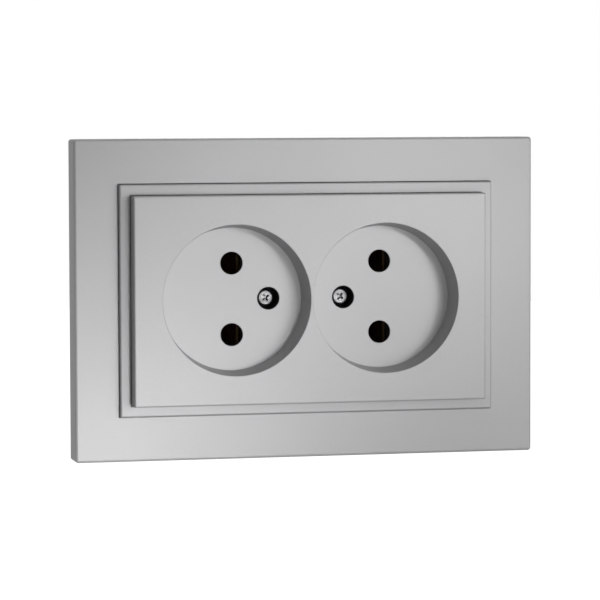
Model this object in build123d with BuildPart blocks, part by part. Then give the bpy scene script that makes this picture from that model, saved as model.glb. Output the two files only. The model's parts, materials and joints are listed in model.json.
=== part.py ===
from build123d import *
import math
import os

# Double wall socket: two round cups without earth contacts in one wall box.
# Millimetres. +X runs to the right, +Z up and -Y out of the wall towards the user.
# The origin is the middle of the wall plane, which is the plane y = 0.
# Levels are distances in front of the wall plane, so a level below zero is inside the wall box.

# Clearances
trim_gap = 0.15          # between nested trim mouldings, seen as a dark joint line
seat_gap = 0.1           # between pieces that are stacked and screwed together
thread_gap = 0.1         # radial, round every screw shank
slide_gap = 0.3          # round pieces that slide

# Outer frame
frame_width = 125.0
frame_height = 85.0
frame_front = 8.5
frame_wall = 1.8
frame_skin = 2.0
frame_corner_radius = 0.8
frame_edge_radius = 0.7
frame_ledge_width = 2.5
frame_ledge_thickness = 2.0
frame_lip_wall = 1.5
frame_rib_thickness = 1.0
frame_rib_pitch = 15.0

# Insert frame
insert_width = 101.5
insert_height = 61.2
insert_front = 10.3
insert_strip = 2.8
insert_edge_radius = 0.5
insert_ledge_width = 2.0
insert_ledge_thickness = 1.5
insert_rebate = 2.7

# Cover and its two cups
cover_front = 14.7
cover_skin = 1.6
cover_edge_radius = 0.5
cup_spacing = 40.5
cup_mouth_radius = 19.95
cup_draft = 0.9
cup_depth = 7.4
cup_wall = 1.3
cup_floor_thickness = 1.6
pin_spacing = 19.0
pin_hole_radius = 3.0

# Cover screws and their bosses
cover_screw_inset = 10.0
screw_hole_radius = 3.0
screw_head_radius = 2.1
screw_head_height = 1.5
screw_head_depth = 3.4
screw_shank_radius = 1.5
screw_length = 10.0
boss_wall = 1.3
boss_seat_thickness = 1.2

# Support plate
plate_width = 104.0
plate_height = 66.0
plate_thickness = 1.0
plate_corner_radius = 5.0
plate_hole_size = 4.2
plate_hole_inset = 6.0
box_screw_spacing = 60.0
box_slot_radius = 2.1
box_slot_length = 6.0

# Base, lid and the room inside the wall box
box_fit_radius = 28.8
base_depth = 22.0
base_end_wall = 1.5
base_flank_wall = 3.6
base_corner_radius = 1.0
lid_thickness = 1.6
lid_rim = 1.2
flange_width = 38.0
flange_height = 48.0
flange_thickness = 2.5
barrier_thickness = 1.6
barrier_length = 30.0
barrier_height = 2.0

# Contacts
clip_width = 7.0
clip_thickness = 0.7
clip_bend_radius = 0.91
clip_half_width = 3.4
clip_waist = 2.15
clip_mouth = 3.1
clip_front_gap = 4.0
clip_lead_in = 4.0
channel_gap = 0.3
bar_thickness = 1.0
bar_depth = 17.6

# Wire terminals
terminal_offset = 9.0
terminal_collar_radius = 2.9
terminal_collar_height = 1.2
terminal_shank_radius = 1.75
terminal_shank_length = 8.0
terminal_head_radius = 3.2
terminal_head_height = 2.2
clamp_size = 7.6
clamp_thickness = 1.2
clamp_groove_radius = 1.5
clamp_groove_depth = 0.35
clamp_rest_gap = 0.2
terminal_recess_side = 0.7

# Claws, their screws and nuts
claw_screw_offset = 21.5
claw_screw_radius = 2.0
claw_screw_head_radius = 3.2
claw_screw_head_height = 1.8
claw_screw_depth = 19.5
claw_spread_angle = 38.0
claw_ramp_depth = 13.0
claw_ramp_thickness = 1.5
claw_sheet = 1.4
claw_half_width = 4.8
claw_foot_depth = 12.3
claw_foot_top = 27.0
claw_toe_depth = 4.5
claw_tooth_top = 29.2
claw_tooth_height = 1.6
claw_tooth_pitch = 2.6
claw_tooth_count = 3
nut_width = 5.9
nut_height = 6.4
nut_thickness = 2.5

# Plate rivets
plate_rivet_spacing = 28.0
plate_rivet_height = 41.0
plate_rivet_radius = 1.5
plate_rivet_head = 2.4
plate_rivet_head_height = 0.9

# Driver recesses
driver_slot_width = 1.0
driver_slot_depth = 0.9
cross_width = 0.9
cross_length = 2.8
cross_depth = 1.1
cross_turn = 35.0

# Levels that follow from the sizes above
ledge_back = plate_thickness + 2 * seat_gap
ledge_front = ledge_back + frame_ledge_thickness
insert_back = ledge_front + seat_gap
insert_seat = insert_front - insert_rebate
cover_back = insert_seat + seat_gap
cup_floor = cover_front - cup_depth
cup_back = cup_floor - cup_floor_thickness
lid_front = cup_back - seat_gap
lid_back = lid_front - lid_thickness
screw_head_top = cup_floor - screw_head_depth
screw_seat = screw_head_top - screw_head_height
boss_back = screw_seat - boss_seat_thickness
bar_front = -bar_depth
clip_mouth_depth = clip_front_gap - lid_back
clip_waist_depth = clip_mouth_depth + clip_lead_in
bar_back = bar_front - bar_thickness
clamp_front = bar_back - clamp_rest_gap
clamp_back = clamp_front - clamp_thickness

# Plan sizes that follow from the sizes above
opening_width = insert_width + 2 * trim_gap
opening_height = insert_height + 2 * trim_gap
cover_width = insert_width - 2 * insert_strip - 2 * trim_gap
cover_height = insert_height - 2 * insert_strip - 2 * trim_gap
cup_outer_radius = cup_mouth_radius + cup_wall
cover_screw_x = cup_spacing / 2 - cover_screw_inset
boss_radius = screw_hole_radius + boss_wall
channel_width = clip_width + 2 * channel_gap
channel_length = cup_spacing + 2 * (clip_half_width + channel_gap)
base_width = channel_length + 2 * base_end_wall
base_height = pin_spacing + channel_width + 2 * base_flank_wall
bar_length = channel_length - 2 * channel_gap
claw_run = math.tan(math.radians(claw_spread_angle))
plate_rivet_places = [
    (plate_rivet_spacing / 2, plate_rivet_height / 2),
    (-plate_rivet_spacing / 2, -plate_rivet_height / 2),
]

os.makedirs("parts", exist_ok=True)


def level(distance):
    """A plane parallel to the wall, this far in front of it, whose normal points at the user."""
    return Plane.XZ.offset(distance)


def save(piece, name):
    """Label a finished piece and write it as its own file."""
    piece.part.label = name
    export_step(piece.part, f"parts/{name}.step")


# The outer frame: a square-edged tray whose opening has a ledge for the insert
with BuildPart() as outer_frame:
    with BuildSketch(level(0)):
        RectangleRounded(frame_width, frame_height, frame_corner_radius)
    extrude(amount=frame_front)
    fillet(outer_frame.faces().sort_by(Axis.Y)[0].edges(), radius=frame_edge_radius)
    with BuildSketch(level(0)):
        Rectangle(frame_width - 2 * frame_wall, frame_height - 2 * frame_wall)
        Rectangle(
            opening_width + 2 * frame_lip_wall,
            opening_height + 2 * frame_lip_wall,
            mode=Mode.SUBTRACT,
        )
    extrude(amount=frame_front - frame_skin, mode=Mode.SUBTRACT)
    with BuildSketch(level(ledge_front)):
        Rectangle(opening_width, opening_height)
    extrude(amount=frame_front, mode=Mode.SUBTRACT)
    with BuildSketch(level(0)):
        Rectangle(opening_width - 2 * frame_ledge_width, opening_height - 2 * frame_ledge_width)
    extrude(amount=frame_front, mode=Mode.SUBTRACT)
    # stiffening ribs between the lip round the opening and the outer wall
    rib_reach_x = (frame_width - opening_width) / 2 - frame_lip_wall
    rib_reach_z = (frame_height - opening_height) / 2 - frame_lip_wall
    ribs_across = int((opening_width - frame_rib_pitch) / frame_rib_pitch / 2) * 2 + 1
    ribs_up = int((opening_height - frame_rib_pitch) / frame_rib_pitch / 2) * 2 + 1
    with BuildSketch(level(ledge_back)):
        with GridLocations(frame_rib_pitch, frame_height - rib_reach_z, ribs_across, 2):
            Rectangle(frame_rib_thickness, rib_reach_z)
        with GridLocations(frame_width - rib_reach_x, frame_rib_pitch, 2, ribs_up):
            Rectangle(rib_reach_x, frame_rib_thickness)
    extrude(amount=frame_front - frame_skin - ledge_back)
    # room behind the lip for the support plate
    with BuildSketch(level(0)):
        Rectangle(opening_width + 2 * frame_lip_wall, opening_height + 2 * frame_lip_wall)
    extrude(amount=ledge_back, mode=Mode.SUBTRACT)
save(outer_frame, "outer_frame")

# The insert frame: a narrow ring with an inner ledge that carries the cover's skirt
with BuildPart() as insert_frame:
    with BuildSketch(level(insert_back)):
        Rectangle(insert_width, insert_height)
    extrude(amount=insert_front - insert_back)
    fillet(insert_frame.faces().sort_by(Axis.Y)[0].edges(), radius=insert_edge_radius)
    with BuildSketch(level(insert_seat)):
        Rectangle(insert_width - 2 * insert_strip, insert_height - 2 * insert_strip)
    extrude(amount=insert_front, mode=Mode.SUBTRACT)
    with BuildSketch(level(insert_back)):
        Rectangle(
            insert_width - 2 * insert_strip - 2 * insert_ledge_width,
            insert_height - 2 * insert_strip - 2 * insert_ledge_width,
        )
    extrude(amount=insert_front, mode=Mode.SUBTRACT)
    with BuildSketch(level(insert_back)):
        Rectangle(insert_width - 2 * insert_strip, insert_height - 2 * insert_strip)
    extrude(amount=insert_seat - insert_ledge_thickness - insert_back, mode=Mode.SUBTRACT)
save(insert_frame, "insert_frame")

# The cover: a thin shell with both cups hanging from it, moulded in one piece
with BuildPart() as socket_cover:
    with BuildSketch(level(cover_back)):
        Rectangle(cover_width, cover_height)
    extrude(amount=cover_front - cover_back)
    fillet(socket_cover.faces().sort_by(Axis.Y)[0].edges(), radius=cover_edge_radius)
    with BuildSketch(level(cover_back)):
        Rectangle(cover_width - 2 * cover_skin, cover_height - 2 * cover_skin)
    extrude(amount=cover_front - cover_skin - cover_back, mode=Mode.SUBTRACT)
    # the cups' outer walls and the two screw bosses below their floors
    with BuildSketch(level(cup_back)):
        with GridLocations(cup_spacing, 0, 2, 1):
            Circle(cup_outer_radius)
    extrude(amount=cover_front - cover_skin / 2 - cup_back)
    with BuildSketch(level(boss_back)):
        with GridLocations(2 * cover_screw_x, 0, 2, 1):
            Circle(boss_radius)
    extrude(amount=cup_floor - boss_back)
    # each cup is turned out with a slight draft
    for side in (-1, 1):
        with BuildSketch(Plane.XY):
            with Locations((side * cup_spacing / 2, 0)):
                Polygon(
                    (0, -cup_floor),
                    (cup_mouth_radius - cup_draft, -cup_floor),
                    (cup_mouth_radius, -cover_front),
                    (0, -cover_front),
                    align=None,
                )
        revolve(axis=Axis((side * cup_spacing / 2, 0, 0), (0, 1, 0)), mode=Mode.SUBTRACT)
    # pin holes, and stepped holes that sink the screw heads below the floor
    with Locations(level(cup_floor)):
        with GridLocations(cup_spacing, pin_spacing, 2, 2):
            Hole(pin_hole_radius, depth=cup_floor_thickness)
        with GridLocations(2 * cover_screw_x, 0, 2, 1):
            CounterBoreHole(
                screw_shank_radius + 2 * thread_gap,
                screw_hole_radius,
                cup_floor - screw_seat,
                depth=cup_floor - boss_back,
            )
save(socket_cover, "socket_cover")

# Cover screws: raised heads with a cross recess, turned part of the way round as they were left
with BuildPart() as cover_screws:
    with Locations(level(screw_seat)):
        with GridLocations(2 * cover_screw_x, 0, 2, 1):
            Cylinder(screw_head_radius, screw_head_height, align=(Align.CENTER, Align.CENTER, Align.MIN))
    with BuildSketch(level(screw_head_top)):
        with GridLocations(2 * cover_screw_x, 0, 2, 1):
            Rectangle(cross_length, cross_width, rotation=cross_turn)
            Rectangle(cross_width, cross_length, rotation=cross_turn)
    extrude(amount=-cross_depth, mode=Mode.SUBTRACT)
    with BuildSketch(level(screw_seat)):
        with GridLocations(2 * cover_screw_x, 0, 2, 1):
            Circle(screw_shank_radius)
    extrude(amount=-screw_length)
save(cover_screws, "cover_screws")

# The outline of the base where it passes through the plate
with BuildSketch() as base_outline:
    Rectangle(base_width, base_height)
    Circle(box_fit_radius, mode=Mode.INTERSECT)
    fillet(base_outline.vertices(), radius=base_corner_radius)

# The support plate: pressed steel with slots for the wall box's screws
with BuildPart() as support_plate:
    with BuildSketch(level(0)):
        RectangleRounded(plate_width, plate_height, plate_corner_radius)
        with GridLocations(box_screw_spacing, 0, 2, 1):
            SlotOverall(box_slot_length, 2 * box_slot_radius, mode=Mode.SUBTRACT)
        with GridLocations(0, 2 * claw_screw_offset, 1, 2):
            Circle(claw_screw_radius + thread_gap, mode=Mode.SUBTRACT)
        with Locations(*plate_rivet_places):
            Circle(plate_rivet_radius + seat_gap, mode=Mode.SUBTRACT)
        with GridLocations(plate_width - 2 * plate_hole_inset, plate_height - 2 * plate_hole_inset, 2, 2):
            Rectangle(plate_hole_size, plate_hole_size, mode=Mode.SUBTRACT)
    extrude(amount=plate_thickness)
    with BuildSketch(level(0)):
        add(base_outline.sketch)
        offset(amount=2 * seat_gap)
    extrude(amount=plate_thickness, mode=Mode.SUBTRACT)
save(support_plate, "support_plate")

# The base: an insulating block with two contact channels, closed at the back
with BuildPart() as socket_base:
    with BuildSketch(level(-base_depth)):
        add(base_outline.sketch)
    extrude(amount=base_depth + lid_front)
    # the flange that is riveted behind the plate, with a gap for each claw
    with BuildSketch(level(-flange_thickness)):
        Rectangle(flange_width, flange_height)
        Circle(box_fit_radius, mode=Mode.INTERSECT)
        with GridLocations(0, flange_height / 2 + base_height / 2, 1, 2):
            Rectangle(2 * (claw_half_width + slide_gap), flange_height / 2, mode=Mode.SUBTRACT)
    extrude(amount=flange_thickness - seat_gap)
    # ramps that lift the claws, one pair on each side of the claw screw
    ramp_rise = claw_run * (claw_ramp_depth - seat_gap)
    for side in (-1, 1):
        flank = side * (base_height / 2 - seat_gap)
        with BuildSketch(
            Plane.YZ.offset(claw_half_width - claw_ramp_thickness),
            Plane.YZ.offset(-claw_half_width),
        ):
            Polygon(
                (claw_ramp_depth, flank),
                (seat_gap, flank),
                (seat_gap, flank + side * ramp_rise),
                align=None,
            )
        extrude(amount=claw_ramp_thickness)
    # the lid's seat, the two channels and the pockets for the cover's bosses
    with BuildSketch(level(lid_front)):
        add(base_outline.sketch)
        offset(amount=-lid_rim)
    extrude(amount=-lid_thickness, mode=Mode.SUBTRACT)
    with BuildSketch(level(lid_back)):
        with GridLocations(0, pin_spacing, 1, 2):
            Rectangle(channel_length, channel_width)
    extrude(amount=bar_back - lid_back, mode=Mode.SUBTRACT)
    with Locations(level(lid_back)):
        with GridLocations(2 * cover_screw_x, 0, 2, 1):
            CounterBoreHole(
                screw_shank_radius + thread_gap,
                boss_radius + seat_gap,
                lid_back - boss_back + seat_gap,
                depth=screw_length + lid_back - screw_seat + seat_gap,
            )
    # terminal recesses, open at the back and at the flank where the wires come in
    for side in (-1, 1):
        with BuildSketch(level(-base_depth)):
            with Locations((-side * terminal_offset, side * base_height / 2)):
                Rectangle(
                    clamp_size + 2 * terminal_recess_side,
                    base_height - pin_spacing + channel_width,
                )
        extrude(amount=base_depth + bar_back, mode=Mode.SUBTRACT)
    with BuildSketch(level(-base_depth)):
        Rectangle(barrier_length, barrier_thickness)
    extrude(amount=-barrier_height)
    with Locations(level(0)):
        with Locations(*plate_rivet_places):
            Hole(plate_rivet_radius + seat_gap, depth=flange_thickness)
save(socket_base, "socket_base")

# The lid over the contact channels, trapped between base and cover
with BuildPart() as contact_lid:
    with BuildSketch(level(lid_back)):
        add(base_outline.sketch)
        offset(amount=-lid_rim - seat_gap)
        with GridLocations(cup_spacing, pin_spacing, 2, 2):
            Rectangle(2 * pin_hole_radius, 2 * pin_hole_radius, mode=Mode.SUBTRACT)
        with GridLocations(2 * cover_screw_x, 0, 2, 1):
            Circle(boss_radius + seat_gap, mode=Mode.SUBTRACT)
    extrude(amount=lid_thickness)
save(contact_lid, "contact_lid")

# Busbars and the contact clips that are welded on them: live above, neutral below
for pole, side in (("live", 1), ("neutral", -1)):
    with BuildPart() as busbar:
        with BuildSketch(level(bar_back)):
            with Locations((0, side * pin_spacing / 2)):
                Rectangle(bar_length, clip_width)
        extrude(amount=bar_thickness)
        with BuildSketch(level(bar_front)):
            with Locations((-side * terminal_offset, side * pin_spacing / 2)):
                Circle(terminal_collar_radius)
        extrude(amount=terminal_collar_height)
        with BuildSketch(level(bar_back)):
            with Locations((-side * terminal_offset, side * pin_spacing / 2)):
                Circle(terminal_shank_radius + thread_gap)
        extrude(amount=bar_thickness + terminal_collar_height, mode=Mode.SUBTRACT)
    save(busbar, f"busbar_{pole}")

    for place, cup in (("left", -1), ("right", 1)):
        with BuildPart() as clip:
            with BuildSketch(Plane.XY.offset(side * pin_spacing / 2 - clip_width / 2)):
                with BuildLine():
                    leaf = FilletPolyline(
                        (cup * cup_spacing / 2 - clip_mouth, clip_mouth_depth),
                        (cup * cup_spacing / 2 - clip_waist - clip_thickness / 2, clip_waist_depth),
                        (
                            cup * cup_spacing / 2 - clip_half_width + clip_thickness / 2,
                            bar_depth - clip_thickness / 2,
                        ),
                        (
                            cup * cup_spacing / 2 + clip_half_width - clip_thickness / 2,
                            bar_depth - clip_thickness / 2,
                        ),
                        (cup * cup_spacing / 2 + clip_waist + clip_thickness / 2, clip_waist_depth),
                        (cup * cup_spacing / 2 + clip_mouth, clip_mouth_depth),
                        radius=clip_bend_radius,
                    )
                trace(leaf, line_width=clip_thickness)
            extrude(amount=clip_width)
        save(clip, f"contact_clip_{place}_{pole}")

# Plate rivets: one head in front of the plate and one behind the base's flange
with BuildPart() as plate_rivets:
    with BuildSketch(level(-flange_thickness)):
        with Locations(*plate_rivet_places):
            Circle(plate_rivet_radius)
    extrude(amount=flange_thickness + plate_thickness)
    with BuildSketch(level(plate_thickness)):
        with Locations(*plate_rivet_places):
            Circle(plate_rivet_head)
    extrude(amount=plate_rivet_head_height)
    with BuildSketch(level(-flange_thickness)):
        with Locations(*plate_rivet_places):
            Circle(plate_rivet_head)
    extrude(amount=-plate_rivet_head_height)
save(plate_rivets, "plate_rivets")

# Wire terminals: a clamp plate and a screw with its head at the back, for each pole
for pole, side in (("live", 1), ("neutral", -1)):
    with BuildPart() as clamp:
        with BuildSketch(level(clamp_back)):
            with Locations((-side * terminal_offset, side * pin_spacing / 2)):
                Rectangle(clamp_size, clamp_size)
                Circle(terminal_shank_radius + 2 * thread_gap, mode=Mode.SUBTRACT)
        extrude(amount=clamp_thickness)
        # grooves that hold the wires, one on each side of the screw
        groove_x = (clamp_size / 2 + terminal_shank_radius) / 2
        groove_y = -clamp_front - clamp_groove_radius + clamp_groove_depth
        with BuildSketch(Plane.XY.offset(side * pin_spacing / 2 - clamp_size / 2)):
            with Locations((-side * terminal_offset, groove_y)):
                with GridLocations(2 * groove_x, 0, 2, 1):
                    Circle(clamp_groove_radius)
        extrude(amount=clamp_size, mode=Mode.SUBTRACT)
    save(clamp, f"terminal_clamp_{pole}")

    with BuildPart() as terminal_screw:
        with BuildSketch(level(clamp_back - seat_gap)):
            with Locations((-side * terminal_offset, side * pin_spacing / 2)):
                Circle(terminal_head_radius)
        extrude(amount=-terminal_head_height)
        with BuildSketch(level(clamp_back - seat_gap - terminal_head_height)):
            with Locations((-side * terminal_offset, side * pin_spacing / 2)):
                Rectangle(2 * terminal_head_radius, driver_slot_width)
        extrude(amount=driver_slot_depth, mode=Mode.SUBTRACT)
        with BuildSketch(level(clamp_back - seat_gap)):
            with Locations((-side * terminal_offset, side * pin_spacing / 2)):
                Circle(terminal_shank_radius)
        extrude(amount=terminal_shank_length)
    save(terminal_screw, f"terminal_screw_{pole}")

# Claws: a folded steel channel that straddles the claw screw and rides on the base's ramps
for place, side in (("top", 1), ("bottom", -1)):
    with BuildPart() as claw:
        # the line on which the claw slides, just clear of the ramps
        slide_lift = slide_gap / math.cos(math.radians(claw_spread_angle))
        foot_back = claw_foot_depth + claw_sheet
        foot_low = base_height / 2 + claw_run * (claw_ramp_depth - claw_foot_depth) + slide_lift
        toe_low = base_height / 2 + claw_run * (claw_ramp_depth - claw_toe_depth) + slide_lift
        gullet = claw_tooth_top - claw_tooth_height
        teeth = []
        for index in range(claw_tooth_count):
            tip = foot_back - index * claw_tooth_pitch
            teeth.append((tip, side * claw_tooth_top))
            teeth.append((tip - claw_tooth_pitch, side * gullet))
        with BuildSketch(
            Plane.YZ.offset(claw_half_width - claw_sheet),
            Plane.YZ.offset(-claw_half_width),
        ):
            Polygon(
                (foot_back, side * foot_low),
                *teeth,
                (claw_toe_depth, side * gullet),
                (claw_toe_depth, side * toe_low),
                (claw_foot_depth, side * foot_low),
                align=None,
            )
        extrude(amount=claw_sheet)
        with BuildSketch(level(-foot_back)):
            with Locations((0, side * (foot_low + claw_foot_top) / 2)):
                Rectangle(2 * claw_half_width, claw_foot_top - foot_low)
        extrude(amount=claw_sheet)
        # the notch that lets the foot move outwards past the screw
        notch_radius = claw_screw_radius + slide_gap
        with BuildSketch(level(-foot_back)):
            with Locations((0, side * claw_screw_offset)):
                Circle(notch_radius)
            with Locations((0, side * (claw_screw_offset + foot_low) / 2)):
                Rectangle(2 * notch_radius, claw_screw_offset - foot_low)
        extrude(amount=claw_sheet, mode=Mode.SUBTRACT)
    save(claw, f"claw_{place}")

    with BuildPart() as claw_nut:
        with BuildSketch(level(-foot_back - 2 * seat_gap)):
            with Locations((0, side * claw_screw_offset)):
                Rectangle(nut_width, nut_height)
                Circle(claw_screw_radius + thread_gap, mode=Mode.SUBTRACT)
        extrude(amount=-nut_thickness)
    save(claw_nut, f"claw_nut_{place}")

    with BuildPart() as claw_screw:
        with BuildSketch(level(plate_thickness + seat_gap)):
            with Locations((0, side * claw_screw_offset)):
                Circle(claw_screw_head_radius)
        extrude(amount=claw_screw_head_height)
        with BuildSketch(level(plate_thickness + seat_gap + claw_screw_head_height)):
            with Locations((0, side * claw_screw_offset)):
                Rectangle(2 * claw_screw_head_radius, driver_slot_width)
        extrude(amount=-driver_slot_depth, mode=Mode.SUBTRACT)
        with BuildSketch(level(plate_thickness + seat_gap)):
            with Locations((0, side * claw_screw_offset)):
                Circle(claw_screw_radius)
        extrude(amount=-claw_screw_depth - plate_thickness)
    save(claw_screw, f"claw_screw_{place}")
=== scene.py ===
import json
import logging
import math
from collections.abc import Callable
from dataclasses import dataclass, field
from enum import Enum

import bpy
from mathutils import Matrix, Vector


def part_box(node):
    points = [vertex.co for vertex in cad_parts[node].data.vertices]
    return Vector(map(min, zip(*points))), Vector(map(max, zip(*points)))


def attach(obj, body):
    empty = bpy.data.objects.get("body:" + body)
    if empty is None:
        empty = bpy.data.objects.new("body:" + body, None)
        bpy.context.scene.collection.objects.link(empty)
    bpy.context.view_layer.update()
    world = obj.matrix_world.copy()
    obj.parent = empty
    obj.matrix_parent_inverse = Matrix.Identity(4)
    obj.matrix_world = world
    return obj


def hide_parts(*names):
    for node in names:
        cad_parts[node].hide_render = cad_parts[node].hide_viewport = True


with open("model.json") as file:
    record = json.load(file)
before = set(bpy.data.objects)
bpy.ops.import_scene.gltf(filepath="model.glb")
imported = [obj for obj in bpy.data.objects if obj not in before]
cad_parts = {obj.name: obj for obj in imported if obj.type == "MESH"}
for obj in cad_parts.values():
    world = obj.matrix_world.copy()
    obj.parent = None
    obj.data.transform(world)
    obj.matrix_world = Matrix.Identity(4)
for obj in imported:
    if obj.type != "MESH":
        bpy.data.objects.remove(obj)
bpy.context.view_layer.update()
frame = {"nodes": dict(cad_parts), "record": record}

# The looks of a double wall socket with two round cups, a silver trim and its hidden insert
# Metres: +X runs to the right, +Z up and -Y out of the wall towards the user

LOG = logging.getLogger("wall_socket")
ROOT = "root"
MERGE_DISTANCE = 0.000001
SMOOTH_ANGLE = math.radians(32.0)
CROWN_SEGMENTS = 6
RIM_SHARE = 0.99  # an edge lies on a rim when both its ends are past this share of the height
NOISE_LOW, NOISE_HIGH = 0.3, 0.7  # nearly all of Blender's noise lies between these
Triple = tuple[float, float, float]
Colour = tuple[float, float, float]


class Finish(Enum):
    """The finishes of the record, by the names of their material slots."""

    FRAME = "frame_silver"
    INSERT = "insert_silver"
    COVER = "cover_silver"
    SCREW = "screw_steel"
    PLATE = "plate_steel"
    MOULDING = "base_plastic"
    BRASS = "contact_brass"
    BRONZE = "contact_bronze"


class Drive(Enum):
    """The recess in a screw's head."""

    CROSS = "cross"
    SLOT = "slot"


class Nodes:
    """A thin wrapper that adds and links shader nodes in one material."""

    def __init__(self, name: str) -> None:
        """Start a material with an empty node tree.

        Args:
            name: the material's name.
        """
        self.material = bpy.data.materials.new(name)
        self.material.use_nodes = True
        self.tree = self.material.node_tree
        self.tree.nodes.clear()

    def add(self, kind: str, inputs: dict | None = None, **settings: object) -> bpy.types.Node:
        """Add one node.

        Args:
            kind: the node's type name.
            inputs: values or output sockets for its inputs, by input name or index.
            settings: values of the node's own properties.

        Returns:
            The new node.
        """
        node = self.tree.nodes.new(kind)
        for name, value in settings.items():
            setattr(node, name, value)
        for name, value in (inputs or {}).items():
            if isinstance(value, bpy.types.NodeSocket):
                self.tree.links.new(value, node.inputs[name])
            else:
                node.inputs[name].default_value = value
        return node

    def place(self, scale: Triple = (1.0, 1.0, 1.0)) -> bpy.types.NodeSocket:
        """Object coordinates, stretched by a scale.

        Args:
            scale: one factor for each axis.

        Returns:
            The vector socket.
        """
        coords = self.add("ShaderNodeTexCoord")
        mapping = self.add(
            "ShaderNodeMapping", {"Vector": coords.outputs["Object"], "Scale": scale}
        )
        return mapping.outputs["Vector"]

    def noise(
        self,
        vector: bpy.types.NodeSocket,
        scale: float,
        detail: float = 2.0,
        low: float = 0.0,
        high: float = 1.0,
    ) -> bpy.types.NodeSocket:
        """A noise pattern, mapped on to a range of values.

        Args:
            vector: where the noise is read.
            scale: the noise's scale, in patches per metre.
            detail: the number of finer layers.
            low: the value of the darkest patches.
            high: the value of the lightest patches.

        Returns:
            The value socket.
        """
        pattern = self.add(
            "ShaderNodeTexNoise", {"Vector": vector, "Scale": scale, "Detail": detail}
        )
        span = self.add(
            "ShaderNodeMapRange",
            {
                "Value": pattern.outputs["Fac"],
                "From Min": NOISE_LOW,
                "From Max": NOISE_HIGH,
                "To Min": low,
                "To Max": high,
            },
        )
        return span.outputs["Result"]

    def inside(self, low: Triple, high: Triple) -> bpy.types.NodeSocket:
        """A mask that is 1 inside a box and 0 outside it.

        Args:
            low: the box's lowest corner, in metres.
            high: the box's highest corner.

        Returns:
            The value socket.
        """
        coords = self.add("ShaderNodeTexCoord")
        parts = self.add("ShaderNodeSeparateXYZ", {"Vector": coords.outputs["Object"]})
        mask = None
        for axis, near, far in zip("XYZ", low, high):
            middle, half = (near + far) / 2, (far - near) / 2
            within = self.add(
                "ShaderNodeMath", {0: parts.outputs[axis], 1: middle, 2: half}, operation="COMPARE"
            )
            if mask is None:
                mask = within.outputs[0]
            else:
                both = self.add(
                    "ShaderNodeMath", {0: mask, 1: within.outputs[0]}, operation="MULTIPLY"
                )
                mask = both.outputs[0]
        return mask

    def tint(
        self, factor: bpy.types.NodeSocket, dark: Colour, light: Colour
    ) -> bpy.types.NodeSocket:
        """A colour between two colours.

        Args:
            factor: 0 for the first colour and 1 for the second.
            dark: the first colour, as linear red, green and blue.
            light: the second colour.

        Returns:
            The colour socket.
        """
        mix = self.add("ShaderNodeMix", {"Factor": factor}, data_type="RGBA")
        mix.inputs["A"].default_value = (*dark, 1.0)
        mix.inputs["B"].default_value = (*light, 1.0)
        return mix.outputs["Result"]

    def bump(
        self, height: bpy.types.NodeSocket, distance: float, strength: float
    ) -> bpy.types.NodeSocket:
        """A bumped normal.

        Args:
            height: the height pattern.
            distance: the height of the bumps in metres.
            strength: how much of the bump shows.

        Returns:
            The normal socket.
        """
        node = self.add(
            "ShaderNodeBump", {"Height": height, "Distance": distance, "Strength": strength}
        )
        return node.outputs["Normal"]

    def finish(self, inputs: dict) -> bpy.types.Material:
        """Close the tree with a Principled shader.

        Args:
            inputs: the shader's inputs.

        Returns:
            The finished material.
        """
        shader = self.add("ShaderNodeBsdfPrincipled", inputs)
        output = self.add("ShaderNodeOutputMaterial")
        self.tree.links.new(shader.outputs["BSDF"], output.inputs["Surface"])
        return self.material


def seen_directly(tree: bpy.types.NodeTree) -> bpy.types.NodeSocket:
    """A mask that is 1 for what the camera, glass and metal see, and 0 for the light on things.

    Args:
        tree: the node tree of a material or of the world.

    Returns:
        The value socket.
    """
    rays = tree.nodes.new("ShaderNodeLightPath")
    mask = rays.outputs["Is Camera Ray"]
    for kind in ("Is Transmission Ray", "Is Glossy Ray"):
        either = tree.nodes.new("ShaderNodeMath")
        either.operation = "MAXIMUM"
        tree.links.new(mask, either.inputs[0])
        tree.links.new(rays.outputs[kind], either.inputs[1])
        mask = either.outputs[0]
    return mask


def shade(colour: Colour, factor: float) -> Colour:
    """A colour made lighter or darker.

    Args:
        colour: linear red, green and blue.
        factor: over 1 is lighter.

    Returns:
        The new colour.
    """
    return tuple(min(1.0, channel * factor) for channel in colour)


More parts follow.
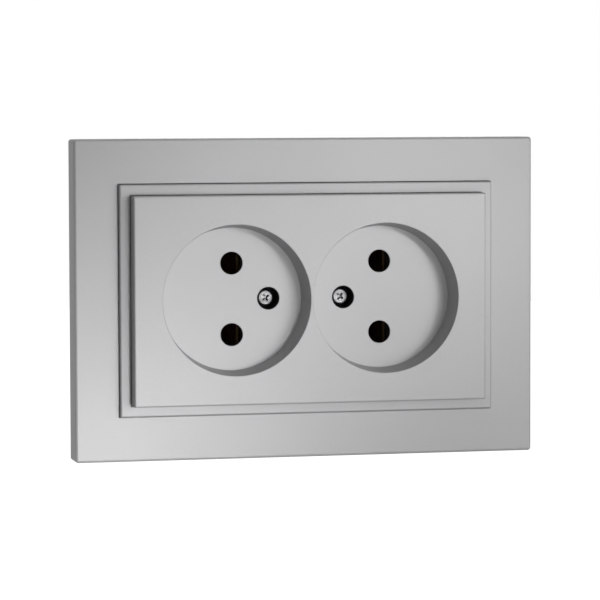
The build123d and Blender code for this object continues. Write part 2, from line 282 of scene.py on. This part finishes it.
@dataclass(frozen=True)
class SatinLacquer:
    """Silver lacquer on moulded plastic: fine flakes in a satin coat, and inside a box bare plastic
    and painted shade.
    """

    colour: Colour
    bare_and_shade_low: Triple
    bare_and_shade_high: Triple
    bare_and_shade: Colour = (0.045, 0.045, 0.047)
    bare_roughness: float = 0.6
    metallic: float = 0.2
    roughness: float = 0.46
    specular: float = 0.05
    flake_scale: float = 5200.0
    flake_contrast: float = 0.03
    cloud_scale: float = 38.0
    cloud_contrast: float = 0.012
    peel_scale: float = 900.0
    peel_height: float = 0.000004
    peel_strength: float = 0.35
    sheen_spread: float = 0.03

    def build(self, name: str) -> bpy.types.Material:
        """Make the material.

        Args:
            name: the material's name.

        Returns:
            The material.
        """
        nodes = Nodes(name)
        place = nodes.place()
        flakes = nodes.noise(place, self.flake_scale, detail=1.0)
        clouds = nodes.noise(place, self.cloud_scale, detail=3.0)
        share = self.cloud_contrast / (self.cloud_contrast + self.flake_contrast)
        blend = nodes.add(
            "ShaderNodeMix", {"Factor": share, "A": flakes, "B": clouds}, data_type="FLOAT"
        )
        spread = self.flake_contrast + self.cloud_contrast
        colour = nodes.tint(
            blend.outputs["Result"], shade(self.colour, 1 - spread), shade(self.colour, 1 + spread)
        )
        dull, bright = self.roughness + self.sheen_spread, self.roughness - self.sheen_spread
        sheen = nodes.noise(place, self.flake_scale, low=bright, high=dull)
        peel = nodes.noise(place, self.peel_scale)
        # Inside the box the lacquer gives way to a dark colour: bare plastic on the backs, and on
        # the cover painted shade that darkens the walls of the screw and pin holes.
        bare_and_shade_mask = nodes.inside(self.bare_and_shade_low, self.bare_and_shade_high)
        coat = nodes.add("ShaderNodeMix", {"Factor": bare_and_shade_mask}, data_type="RGBA")
        nodes.tree.links.new(colour, coat.inputs["A"])
        coat.inputs["B"].default_value = (*self.bare_and_shade, 1.0)
        matt = nodes.add(
            "ShaderNodeMix",
            {"Factor": bare_and_shade_mask, "A": sheen, "B": self.bare_roughness},
            data_type="FLOAT",
        )
        metal = nodes.add(
            "ShaderNodeMix", {"Factor": bare_and_shade_mask, "A": self.metallic, "B": 0.0}, data_type="FLOAT"
        )
        return nodes.finish(
            {
                "Base Color": coat.outputs["Result"],
                "Metallic": metal.outputs["Result"],
                "Roughness": matt.outputs["Result"],
                "Specular IOR Level": self.specular,
                "Normal": nodes.bump(peel, self.peel_height, self.peel_strength),
            }
        )


@dataclass(frozen=True)
class PlatedMetal:
    """Bare or plated metal with drawn or rolled streaks and a slight stain."""

    colour: Colour
    stain: Colour
    roughness: float
    roughness_span: tuple[float, float] = (0.8, 1.25)
    stain_scale: float = 120.0
    streak_scale: float = 700.0
    stretch: Triple = (0.12, 1.0, 1.0)
    bump_height: float = 0.000008
    bump_strength: float = 0.25

    def build(self, name: str) -> bpy.types.Material:
        """Make the material.

        Args:
            name: the material's name.

        Returns:
            The material.
        """
        nodes = Nodes(name)
        streaks = nodes.noise(nodes.place(self.stretch), self.streak_scale, detail=4.0)
        patches = nodes.noise(nodes.place(), self.stain_scale, detail=3.0)
        colour = nodes.tint(patches, self.stain, self.colour)
        low, high = (self.roughness * share for share in self.roughness_span)
        roughness = nodes.noise(
            nodes.place(self.stretch), self.streak_scale, detail=3.0, low=low, high=high
        )
        return nodes.finish(
            {
                "Base Color": colour,
                "Metallic": 1.0,
                "Roughness": roughness,
                "Normal": nodes.bump(streaks, self.bump_height, self.bump_strength),
            }
        )


@dataclass(frozen=True)
class DarkMoulding:
    """Black thermoset with a fine grain and paler flecks of filler."""

    colour: Colour = (0.014, 0.014, 0.015)
    fleck: Colour = (0.032, 0.032, 0.034)
    fleck_scale: float = 420.0
    roughness_span: tuple[float, float] = (0.42, 0.56)
    sheen_scale: float = 260.0
    grain_scale: float = 1500.0
    grain_height: float = 0.00002
    grain_strength: float = 0.4

    def build(self, name: str) -> bpy.types.Material:
        """Make the material.

        Args:
            name: the material's name.

        Returns:
            The material.
        """
        nodes = Nodes(name)
        place = nodes.place()
        grain = nodes.noise(place, self.grain_scale, detail=3.0)
        flecks = nodes.noise(place, self.fleck_scale, detail=4.0)
        colour = nodes.tint(flecks, self.colour, self.fleck)
        low, high = self.roughness_span
        roughness = nodes.noise(place, self.sheen_scale, low=low, high=high)
        return nodes.finish(
            {
                "Base Color": colour,
                "Roughness": roughness,
                "Normal": nodes.bump(grain, self.grain_height, self.grain_strength),
            }
        )


FINISHES = {
    Finish.FRAME: SatinLacquer(
        colour=(0.47, 0.47, 0.475),
        bare_and_shade_low=(-0.0608, -0.0067, -0.0408),
        bare_and_shade_high=(0.0608, 0.01, 0.0408),
    ),
    Finish.INSERT: SatinLacquer(
        colour=(0.46, 0.46, 0.465),
        bare_and_shade_low=(-0.06, -0.0077, -0.04),
        bare_and_shade_high=(0.06, 0.01, 0.04),
    ),
    Finish.COVER: SatinLacquer(
        colour=(0.48, 0.48, 0.485),
        bare_and_shade_low=(-0.06, -0.0071, -0.04),
        bare_and_shade_high=(0.06, 0.01, 0.04),
        # near black: painted shade, so the walls of the screw and pin holes behind the cup floors
        # read black
        bare_and_shade=(0.012, 0.012, 0.013),
    ),
    Finish.SCREW: PlatedMetal(colour=(0.27, 0.27, 0.28), stain=(0.19, 0.19, 0.19), roughness=0.45),
    Finish.PLATE: PlatedMetal(colour=(0.5, 0.51, 0.53), stain=(0.42, 0.42, 0.41), roughness=0.36),
    Finish.MOULDING: DarkMoulding(),
    Finish.BRASS: PlatedMetal(colour=(0.74, 0.55, 0.25), stain=(0.64, 0.44, 0.18), roughness=0.28),
    # The contacts' colour is darkened far below bronze's own so that they read black through the
    # pin holes: painted shade.
    Finish.BRONZE: PlatedMetal(colour=(0.22, 0.14, 0.08), stain=(0.16, 0.1, 0.06), roughness=0.55),
}


@dataclass
class Dresser:
    """Builds each finish once and lays it on the nodes that the record gives to its slot."""

    materials: dict[Finish, bpy.types.Material] = field(default_factory=dict)

    def build(self) -> None:
        """Make the material of every finish."""
        for finish, recipe in FINISHES.items():
            self.materials[finish] = recipe.build(finish.value)
            LOG.info("finish %s", finish.value)

    def dress(self, piece: bpy.types.Object, finish: Finish) -> None:
        """Give a piece one finish all over.

        Args:
            piece: the piece.
            finish: its finish.
        """
        piece.data.materials.clear()
        piece.data.materials.append(self.materials[finish])

    def hand_over(self, piece: bpy.types.Object, finish: Finish, body: str, node: str) -> None:
        """Finish a new piece: dress it, let it ride, and let it stand for its node.

        Args:
            piece: the finished piece.
            finish: its finish.
            body: the body that it moves with.
            node: the CAD node that it stands for.
        """
        self.dress(piece, finish)
        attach(piece, body)
        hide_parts(node)
        LOG.info("piece %s rides on %s", piece.name, body)

    def dress_nodes(self) -> None:
        """Lay the finishes on the CAD nodes."""
        for entry in frame["record"]["subparts"]:
            node = frame["nodes"][entry["node"]]
            self.dress(node, Finish(entry["material_slot"]))
            LOG.info("node %s in %s", entry["node"], entry["material_slot"])


def activate(piece: bpy.types.Object) -> None:
    """Select one piece alone and make it the active one.

    Args:
        piece: the piece.
    """
    bpy.ops.object.select_all(action="DESELECT")
    piece.select_set(True)
    bpy.context.view_layer.objects.active = piece


def settle(piece: bpy.types.Object) -> None:
    """Put a piece's place and turn into its mesh, so that its object sits at the origin.

    Args:
        piece: the piece.
    """
    activate(piece)
    bpy.ops.object.transform_apply(location=True, rotation=True, scale=True)


def take_primitive(name: str) -> bpy.types.Object:
    """Name the primitive that was just added and put its place into its mesh.

    Args:
        name: its name.

    Returns:
        The primitive's object.
    """
    piece = bpy.context.object
    piece.name = name
    settle(piece)
    return piece


def pick_edges(piece: bpy.types.Object, test: Callable[[Vector, Vector], bool]) -> None:
    """Go into edit mode with some edges selected.

    Args:
        piece: the piece.
        test: says of an edge's two ends whether the edge is wanted.
    """
    activate(piece)
    bpy.ops.object.mode_set(mode="EDIT")
    bpy.ops.mesh.select_mode(type="EDGE")
    bpy.ops.mesh.select_all(action="DESELECT")
    bpy.ops.object.mode_set(mode="OBJECT")
    points = piece.data.vertices
    for edge in piece.data.edges:
        start, end = edge.vertices
        edge.select = test(points[start].co, points[end].co)
    bpy.ops.object.mode_set(mode="EDIT")


def apply_modifier(piece: bpy.types.Object, kind: str, **settings: object) -> None:
    """Add one modifier to a piece and apply it.

    Args:
        piece: the piece.
        kind: the modifier's type.
        settings: values of its properties.
    """
    activate(piece)
    bpy.ops.object.modifier_add(type=kind)
    modifier = piece.modifiers[-1]
    for name, value in settings.items():
        setattr(modifier, name, value)
    bpy.ops.object.modifier_apply(modifier=modifier.name)


def join(name: str, pieces: list[bpy.types.Object]) -> bpy.types.Object:
    """Join several pieces in one.

    Args:
        name: the joined piece's name.
        pieces: the pieces.

    Returns:
        The joined piece.
    """
    activate(pieces[0])
    for piece in pieces[1:]:
        piece.select_set(True)
    bpy.ops.object.join()
    pieces[0].name = name
    return pieces[0]


def placed_copy(master: bpy.types.Object, name: str, matrix: Matrix) -> bpy.types.Object:
    """Copy a piece with a mesh of its own and put the copy in its place.

    Args:
        master: the piece that was modelled, upright at the origin.
        name: the copy's name.
        matrix: the copy's place and turn.

    Returns:
        The copy.
    """
    copy = bpy.data.objects.new(name, master.data.copy())
    bpy.context.scene.collection.objects.link(copy)
    copy.matrix_world = matrix
    settle(copy)
    return copy


@dataclass(frozen=True)
class SoftenedShell:
    """A moulded or pressed CAD piece, whose sharp edges get the small radius of the real one."""

    node: str
    name: str
    body: str
    finish: Finish
    edge_radius: float
    segments: int = 2
    flat_angle: float = math.radians(1.0)
    sharp_angle: float = math.radians(30.0)

    def build(self) -> bpy.types.Object:
        """Merge a copy of the node's mesh and soften its edges.

        Returns:
            The piece.
        """
        piece = bpy.data.objects.new(self.name, frame["nodes"][self.node].data.copy())
        bpy.context.scene.collection.objects.link(piece)
        activate(piece)
        bpy.ops.mesh.customdata_custom_splitnormals_clear()
        bpy.ops.object.mode_set(mode="EDIT")
        bpy.ops.mesh.select_all(action="SELECT")
        bpy.ops.mesh.remove_doubles(threshold=MERGE_DISTANCE)
        bpy.ops.mesh.mark_sharp(clear=True)
        bpy.ops.mesh.dissolve_limited(angle_limit=self.flat_angle)
        bpy.ops.object.mode_set(mode="OBJECT")
        bpy.ops.object.shade_smooth()
        apply_modifier(
            piece,
            "BEVEL",
            width=self.edge_radius,
            segments=self.segments,
            limit_method="ANGLE",
            angle_limit=self.sharp_angle,
        )
        apply_modifier(piece, "WEIGHTED_NORMAL", mode="FACE_AREA", weight=100)
        return piece

    def dress(self, dresser: "Dresser") -> None:
        """Build the piece, finish it and let it stand for its node.

        Args:
            dresser: what lays the finish on it.
        """
        dresser.hand_over(self.build(), self.finish, self.body, self.node)


@dataclass(frozen=True)
class MachineScrew:
    """A screw with a crowned head and a real thread, modelled upright with its head above."""

    name: str
    head_radius: float
    head_height: float
    crown: float
    shank_radius: float
    shank_length: float
    pitch: float
    drive: Drive
    recess_width: float
    recess_length: float
    recess_depth: float
    head_sides: int = 56
    thread_steps: int = 22
    thread_depth_share: float = 0.6
    tip_chamfer: float = 0.0003
    taper_share: float = 0.35

    def build(self) -> bpy.types.Object:
        """Model the screw at the origin: its seat is the plane z = 0.

        Returns:
            The master screw, which is copied to its places.
        """
        head = self.build_head()
        self.cut_recess(head)
        shank = self.build_shank()
        thread = self.build_thread()
        screw = join(self.name, [head, shank, thread])
        activate(screw)
        bpy.ops.object.shade_smooth_by_angle(angle=SMOOTH_ANGLE)
        return screw

    def build_head(self) -> bpy.types.Object:
        """Model the head with a rounded crown.

        Returns:
            The head.
        """
        bpy.ops.mesh.primitive_cylinder_add(
            vertices=self.head_sides,
            radius=self.head_radius,
            depth=self.head_height,
            location=(0.0, 0.0, self.head_height / 2),
        )
        head = take_primitive(f"{self.name}_head")
        top = self.head_height
        pick_edges(head, lambda a, b: min(a.z, b.z) > top * RIM_SHARE)
        bpy.ops.mesh.bevel(offset=self.crown, segments=CROWN_SEGMENTS, affect="EDGES")
        bpy.ops.object.mode_set(mode="OBJECT")
        return head

    def cut_recess(self, head: bpy.types.Object) -> None:
        """Cut the driver's recess, whose sides lean in towards its bottom.

        Args:
            head: the head.
        """
        turns = (0.0, math.pi / 2) if self.drive is Drive.CROSS else (0.0,)
        for turn in turns:
            bpy.ops.mesh.primitive_cube_add(
                size=1.0,
                location=(0.0, 0.0, self.head_height),
                rotation=(0.0, 0.0, turn),
                scale=(self.recess_length, self.recess_width, 2 * self.recess_depth),
            )
            cutter = take_primitive("recess_cutter")
            if self.drive is Drive.CROSS:
                self.taper(cutter)
            apply_modifier(head, "BOOLEAN", operation="DIFFERENCE", object=cutter, solver="EXACT")
            bpy.data.objects.remove(cutter)

    def taper(self, cutter: bpy.types.Object) -> None:
        """Draw in the lower end of a cutter.

        Args:
            cutter: the cutter.
        """
        activate(cutter)
        bpy.ops.object.mode_set(mode="EDIT")
        bpy.ops.mesh.select_mode(type="VERT")
        bpy.ops.mesh.select_all(action="DESELECT")
        bpy.ops.object.mode_set(mode="OBJECT")
        for point in cutter.data.vertices:
            point.select = point.co.z < self.head_height
        bpy.ops.object.mode_set(mode="EDIT")
        bpy.ops.transform.resize(
            value=(self.taper_share, self.taper_share, 1.0), center_override=(0.0, 0.0, 0.0)
        )
        bpy.ops.object.mode_set(mode="OBJECT")

    def build_shank(self) -> bpy.types.Object:
        """Model the shank's core with a chamfered tip.

        Returns:
            The shank.
        """
        core = self.shank_radius - self.pitch * self.thread_depth_share
        bpy.ops.mesh.primitive_cylinder_add(
            vertices=self.thread_steps,
            radius=core,
            depth=self.shank_length,
            location=(0.0, 0.0, -self.shank_length / 2),
        )
        shank = take_primitive(f"{self.name}_shank")
        tip = -self.shank_length
        pick_edges(shank, lambda a, b: max(a.z, b.z) < tip * RIM_SHARE)
        bpy.ops.mesh.bevel(offset=self.tip_chamfer, segments=1, affect="EDGES")
        bpy.ops.object.mode_set(mode="OBJECT")
        return shank

    def build_thread(self) -> bpy.types.Object:
        """Wind a triangular thread round the shank and close its two ends.

        The triangle's circle reaches two thirds of the thread's depth out from its middle.

        Returns:
            The thread.
        """
        depth = self.pitch * self.thread_depth_share
        reach = depth * 2 / 3
        turns = int((self.shank_length - self.tip_chamfer) / self.pitch) - 1
        start = -self.tip_chamfer - self.pitch * (turns + 0.5)
        bpy.ops.mesh.primitive_circle_add(
            vertices=3,
            radius=reach,
            location=(self.shank_radius - reach, 0.0, start),
            rotation=(math.pi / 2, math.pi / 2, 0.0),
        )
        thread = take_primitive(f"{self.name}_thread")
        apply_modifier(
            thread,
            "SCREW",
            axis="Z",
            screw_offset=self.pitch,
            iterations=turns,
            steps=self.thread_steps,
            render_steps=self.thread_steps,
        )
        activate(thread)
        bpy.ops.object.mode_set(mode="EDIT")
        bpy.ops.mesh.select_all(action="SELECT")
        bpy.ops.mesh.remove_doubles(threshold=MERGE_DISTANCE)
        bpy.ops.mesh.fill_holes(sides=3)
        bpy.ops.mesh.normals_make_consistent(inside=False)
        bpy.ops.object.mode_set(mode="OBJECT")
        return thread


@dataclass(frozen=True)
class Rivet:
    """A plate rivet with a domed head in front of the plate and another behind the flange."""

    name: str = "plate_rivet"
    node: str = "plate_rivets"
    head_radius: float = 0.0024
    head_height: float = 0.0009
    shank_radius: float = 0.0015
    shank_share: float = 0.9
    dome_share: float = 0.85
    sides: int = 40

    def build(self) -> list[bpy.types.Object]:
        """Model one rivet and copy it to both of its places.

        Returns:
            The two rivets.
        """
        low, high = (Vector(corner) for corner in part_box(self.node))
        length = high.y - low.y
        bpy.ops.mesh.primitive_cylinder_add(
            vertices=self.sides, radius=self.shank_radius, depth=length * self.shank_share
        )
        parts = [take_primitive(f"{self.name}_shank")]
        for side in (-1, 1):
            bpy.ops.mesh.primitive_cylinder_add(
                vertices=self.sides,
                radius=self.head_radius,
                depth=self.head_height,
                location=(0.0, 0.0, side * (length - self.head_height) / 2),
            )
            head = take_primitive(f"{self.name}_head")
            pick_edges(head, lambda a, b: min(abs(a.z), abs(b.z)) > length / 2 * RIM_SHARE)
            bpy.ops.mesh.bevel(
                offset=self.head_height * self.dome_share, segments=CROWN_SEGMENTS, affect="EDGES"
            )
            bpy.ops.object.mode_set(mode="OBJECT")
            parts.append(head)
        master = join(self.name, parts)
        activate(master)
        bpy.ops.object.shade_smooth_by_angle(angle=SMOOTH_ANGLE)
        rivets = []
        for label, x, z in (
            ("upper", high.x - self.head_radius, high.z - self.head_radius),
            ("lower", low.x + self.head_radius, low.z + self.head_radius),
        ):
            place = Matrix.Translation((x, (low.y + high.y) / 2, z))
            place @= Matrix.Rotation(math.pi / 2, 4, "X")
            rivets.append(placed_copy(master, f"{self.name}_{label}", place))
        bpy.data.objects.remove(master)
        return rivets

    def dress(self, dresser: "Dresser") -> None:
        """Build the rivets and let them stand for their node.

        Args:
            dresser: what lays the finish on them.
        """
        for rivet in self.build():
            dresser.hand_over(rivet, Finish.SCREW, ROOT, self.node)


@dataclass(frozen=True)
class Trim:
    """The silver mouldings that show: outer frame, insert frame and the cover with its cups."""

    shells: tuple[SoftenedShell, ...] = (
        SoftenedShell("outer_frame", "frame_moulding", ROOT, Finish.FRAME, edge_radius=0.00015),
        SoftenedShell("insert_frame", "insert_moulding", ROOT, Finish.INSERT, edge_radius=0.00015),
        SoftenedShell(
            "socket_cover", "cover_moulding", ROOT, Finish.COVER, edge_radius=0.00018, segments=3
        ),
    )
    screw: MachineScrew = MachineScrew(
        name="cover_screw",
        head_radius=0.0021,
        head_height=0.0015,
        crown=0.00045,
        shank_radius=0.0015,
        shank_length=0.01,
        pitch=0.0005,
        drive=Drive.CROSS,
        recess_width=0.0009,
        recess_length=0.0031,
        recess_depth=0.0013,
    )
    screw_node: str = "cover_screws"
    screw_turns: tuple[float, float] = (math.radians(35.0), math.radians(52.0))

    def dress(self, dresser: "Dresser") -> None:
        """Soften the mouldings and put in the two cover screws.

        Args:
            dresser: what lays the finishes on them.
        """
        for shell in self.shells:
            shell.dress(dresser)
        low, high = (Vector(corner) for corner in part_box(self.screw_node))
        master = self.screw.build()
        seat = low.y + self.screw.head_height
        places = (low.x + self.screw.head_radius, high.x - self.screw.head_radius)
        for label, x, turn in zip(("left", "right"), places, self.screw_turns):
            place = Matrix.Translation((x, seat, (low.z + high.z) / 2))
            place @= Matrix.Rotation(math.pi / 2, 4, "X") @ Matrix.Rotation(turn, 4, "Z")
            screw = placed_copy(master, f"cover_screw_{label}", place)
            dresser.hand_over(screw, Finish.SCREW, ROOT, self.screw_node)
        bpy.data.objects.remove(master)


@dataclass(frozen=True)
class Insert:
    """What sits in the wall box: plate, base, rivets, terminals and the two claws."""

    steel_edge: float = 0.00012
    moulded_edge: float = 0.0002
    rivet: Rivet = Rivet()
    terminal_screw: MachineScrew = MachineScrew(
        name="terminal_screw",
        head_radius=0.0032,
        head_height=0.0022,
        crown=0.0005,
        shank_radius=0.00175,
        shank_length=0.008,
        pitch=0.0006,
        drive=Drive.SLOT,
        recess_width=0.001,
        recess_length=0.0072,
        recess_depth=0.0009,
    )
    claw_screw: MachineScrew = MachineScrew(
        name="claw_screw",
        head_radius=0.0032,
        head_height=0.0018,
        crown=0.0006,
        shank_radius=0.002,
        shank_length=0.0206,
        pitch=0.0007,
        drive=Drive.SLOT,
        recess_width=0.001,
        recess_length=0.0072,
        recess_depth=0.0009,
    )

    def dress(self, dresser: "Dresser") -> None:
        """Soften the pressed and moulded pieces, and put in the rivets and screws.

        Args:
            dresser: what lays the finishes on them.
        """
        base = SoftenedShell(
            "socket_base", "base_moulding", ROOT, Finish.MOULDING, self.moulded_edge
        )
        self.steel("support_plate", "mounting_plate", ROOT).dress(dresser)
        base.dress(dresser)
        self.rivet.dress(dresser)
        for end in ("top", "bottom"):
            self.steel(f"claw_{end}", f"spreading_claw_{end}", f"claw_{end}").dress(dresser)
            self.steel(f"claw_nut_{end}", f"square_nut_{end}", f"claw_nut_{end}").dress(dresser)
        for pole in ("live", "neutral"):
            clamp = f"terminal_clamp_{pole}"
            self.steel(clamp, f"wire_clamp_{pole}", clamp).dress(dresser)
        claw_nodes = ("claw_screw_top", "claw_screw_bottom")
        terminal_nodes = ("terminal_screw_live", "terminal_screw_neutral")
        self.fit_screws(self.claw_screw, claw_nodes, True, dresser)
        self.fit_screws(self.terminal_screw, terminal_nodes, False, dresser)

    def steel(self, node: str, name: str, body: str) -> SoftenedShell:
        """A plated steel piece of the insert.

        Args:
            node: the CAD node that it stands for.
            name: its name.
            body: the body that it moves with.

        Returns:
            The piece, still to be built.
        """
        return SoftenedShell(node, name, body, Finish.PLATE, self.steel_edge)

    def fit_screws(
        self, screw: MachineScrew, nodes: tuple[str, ...], faces_user: bool, dresser: "Dresser"
    ) -> None:
        """Model one screw and copy it to each node's place.

        Args:
            screw: the screw's sizes.
            nodes: the nodes that the copies stand for, each a body of its own.
            faces_user: True if the head faces the user, and False if it faces into the wall box.
            dresser: what lays the finish on them.
        """
        master = screw.build()
        for node in nodes:
            low, high = (Vector(corner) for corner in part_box(node))
            middle = (low + high) / 2
            seat = low.y + screw.head_height if faces_user else high.y - screw.head_height
            turn = math.pi / 2 if faces_user else -math.pi / 2
            place = Matrix.Translation((middle.x, seat, middle.z)) @ Matrix.Rotation(turn, 4, "X")
            copy = placed_copy(master, f"threaded_{node}", place)
            dresser.hand_over(copy, Finish.SCREW, node, node)
        bpy.data.objects.remove(master)


@dataclass(frozen=True)
class PhotoCamera:
    """The photographer's camera, left of the socket's middle and a little above it."""

    yaw_degrees: float = 13.49
    pitch_degrees: float = 3.56
    roll_degrees: float = -0.176
    distance: float = 0.8697
    focal_pixels: float = 3236.0
    image_pixels: float = 600.0
    offset_pixels: tuple[float, float] = (-0.602, 4.001)
    sensor_width: float = 36.0
    near_clip: float = 0.01

    def build(self) -> bpy.types.Object:
        """Make the camera and set it as the scene's own.

        Returns:
            The camera object.
        """
        yaw = math.radians(self.yaw_degrees)
        pitch = math.radians(self.pitch_degrees)
        roll = math.radians(self.roll_degrees)
        ahead = Vector(
            (math.sin(yaw) * math.cos(pitch), math.cos(yaw) * math.cos(pitch), -math.sin(pitch))
        )
        level_right = Vector((math.cos(yaw), -math.sin(yaw), 0.0))
        level_up = level_right.cross(ahead)
        right = math.cos(roll) * level_right + math.sin(roll) * level_up
        up = math.cos(roll) * level_up - math.sin(roll) * level_right
        metres_per_pixel = self.distance / self.focal_pixels
        place = -ahead * self.distance
        place -= right * self.offset_pixels[0] * metres_per_pixel
        place -= up * self.offset_pixels[1] * metres_per_pixel
        lens = bpy.data.cameras.new("photo_camera")
        lens.sensor_width = self.sensor_width
        lens.lens = self.sensor_width * self.focal_pixels / self.image_pixels
        lens.clip_start = self.near_clip
        camera = bpy.data.objects.new("photo_camera", lens)
        turn = Matrix((right, up, -ahead)).transposed().to_4x4()
        camera.matrix_world = Matrix.Translation(place) @ turn
        bpy.context.scene.collection.objects.link(camera)
        bpy.context.scene.camera = camera
        return camera


def hang_lamp(lamp: bpy.types.Light, place: Triple, target: Triple) -> bpy.types.Object:
    """Hang a lamp in its place and aim it.

    Args:
        lamp: the lamp's data, whose name the object gets too.
        place: where it hangs.
        target: what it points at.

    Returns:
        The lamp object.
    """
    holder = bpy.data.objects.new(lamp.name, lamp)
    turn = (Vector(target) - Vector(place)).to_track_quat("-Z", "Y")
    holder.matrix_world = Matrix.Translation(place) @ turn.to_matrix().to_4x4()
    holder.visible_camera = False
    bpy.context.scene.collection.objects.link(holder)
    return holder


@dataclass(frozen=True)
class SoftLamp:
    """One rectangular soft box, aimed at the middle of the wall plane."""

    name: str
    place: Triple
    width: float
    height: float
    watts: float
    target: Triple = (0.0, 0.0, 0.0)

    def build(self) -> bpy.types.Object:
        """Make the lamp.

        Returns:
            The lamp object.
        """
        lamp = bpy.data.lights.new(self.name, "AREA")
        lamp.shape = "RECTANGLE"
        lamp.size = self.width
        lamp.size_y = self.height
        lamp.energy = self.watts
        return hang_lamp(lamp, self.place, self.target)


@dataclass(frozen=True)
class FeatherLamp:
    """A lamp in a soft snoot, whose round patch of light fades out towards its rim."""

    name: str
    place: Triple
    target: Triple
    cone_degrees: float
    watts: float
    bulb_radius: float = 0.05

    def build(self) -> bpy.types.Object:
        """Make the lamp.

        Returns:
            The lamp object.
        """
        lamp = bpy.data.lights.new(self.name, "SPOT")
        lamp.energy = self.watts
        lamp.spot_size = math.radians(self.cone_degrees)
        lamp.spot_blend = 1.0
        lamp.shadow_soft_size = self.bulb_radius
        return hang_lamp(lamp, self.place, self.target)


@dataclass(frozen=True)
class Studio:
    """A white surround for what the camera and metal see, the lamps, and a pale floor."""

    ambient: float = 0.08
    white: tuple[float, float, float, float] = (1.0, 1.0, 1.0, 1.0)
    floor_height: float = -0.2
    floor_size: float = 6.0
    floor_paint: float = 0.8
    floor_roughness: float = 0.9
    shadow_radius: float = 0.65
    shadow_glow: float = 0.8
    lamps: tuple[SoftLamp | FeatherLamp, ...] = (
        SoftLamp("front_right_box", (0.529, -0.846, 0.07), width=0.35, height=0.5, watts=2.25),
        SoftLamp("front_box", (0.233, -0.97, -0.063), width=0.3, height=0.3, watts=0.7),
        SoftLamp("top_box", (0.045, -0.255, 0.966), width=0.8, height=0.5, watts=0.6),
        SoftLamp("back_box", (0.15, 0.95, 0.25), width=0.5, height=0.5, watts=1.2),
        FeatherLamp(
            "lower_left_snoot",
            place=(0.093, -0.881, -0.156),
            target=(-0.06, 0.0, -0.046),
            cone_degrees=9.0,
            watts=16.0,
        ),
        FeatherLamp(
            "upper_middle_snoot",
            place=(0.272, -0.837, 0.187),
            target=(-0.005, 0.0, 0.03),
            cone_degrees=6.0,
            watts=10.2,
        ),
        FeatherLamp(
            "right_snoot",
            place=(0.422, -0.793, 0.063),
            target=(0.035, 0.0, 0.015),
            cone_degrees=9.0,
            watts=5.2,
        ),
    )

    def build(self) -> None:
        """Make the world, the lamps and the floor."""
        bpy.context.scene.view_settings.view_transform = "Standard"
        self.build_world()
        for lamp in self.lamps:
            lamp.build()
            LOG.info("lamp %s", lamp.name)
        self.build_floor()

    def build_world(self) -> None:
        """Surround the socket with white that gives it only a little light."""
        world = bpy.data.worlds.new("studio_world")
        world.use_nodes = True
        tree = world.node_tree
        tree.nodes.clear()
        mix = tree.nodes.new("ShaderNodeMixShader")
        tree.links.new(seen_directly(tree), mix.inputs["Fac"])
        for slot, strength in ((1, self.ambient), (2, 1.0)):
            background = tree.nodes.new("ShaderNodeBackground")
            background.inputs["Color"].default_value = self.white
            background.inputs["Strength"].default_value = strength
            tree.links.new(background.outputs[0], mix.inputs[slot])
        output = tree.nodes.new("ShaderNodeOutputWorld")
        tree.links.new(mix.outputs[0], output.inputs["Surface"])
        bpy.context.scene.world = world

    def build_floor(self) -> None:
        """Lay the pale floor, which is white far off and keeps the shadow below the socket."""
        bpy.ops.mesh.primitive_plane_add(
            size=self.floor_size, location=(0.0, 0.0, self.floor_height)
        )
        floor = bpy.context.object
        floor.name = "studio_floor"
        nodes = Nodes("studio_floor")
        coords = nodes.add("ShaderNodeTexCoord")
        reach = nodes.add("ShaderNodeVectorMath", {0: coords.outputs["Object"]}, operation="LENGTH")
        glow = nodes.add(
            "ShaderNodeMapRange",
            {
                "Value": reach.outputs["Value"],
                "From Min": self.shadow_radius / 2,
                "From Max": self.shadow_radius,
                "To Min": self.shadow_glow,
                "To Max": 1.0,
            },
            interpolation_type="SMOOTHSTEP",
        )
        seen = seen_directly(nodes.tree)
        lift = nodes.add(
            "ShaderNodeMath", {0: seen, 1: glow.outputs["Result"]}, operation="MULTIPLY"
        )
        nodes.finish(
            {
                "Base Color": (self.floor_paint, self.floor_paint, self.floor_paint, 1.0),
                "Roughness": self.floor_roughness,
                "Emission Color": self.white,
                "Emission Strength": lift.outputs[0],
            }
        )
        floor.data.materials.append(nodes.material)


def main() -> None:
    """Dress the socket, then set up the studio."""
    logging.basicConfig(level=logging.INFO, format="%(name)s: %(message)s")
    dresser = Dresser()
    dresser.build()
    dresser.dress_nodes()
    Trim().dress(dresser)
    Insert().dress(dresser)
    Studio().build()
    PhotoCamera().build()


if __name__ == "__main__":
    main()
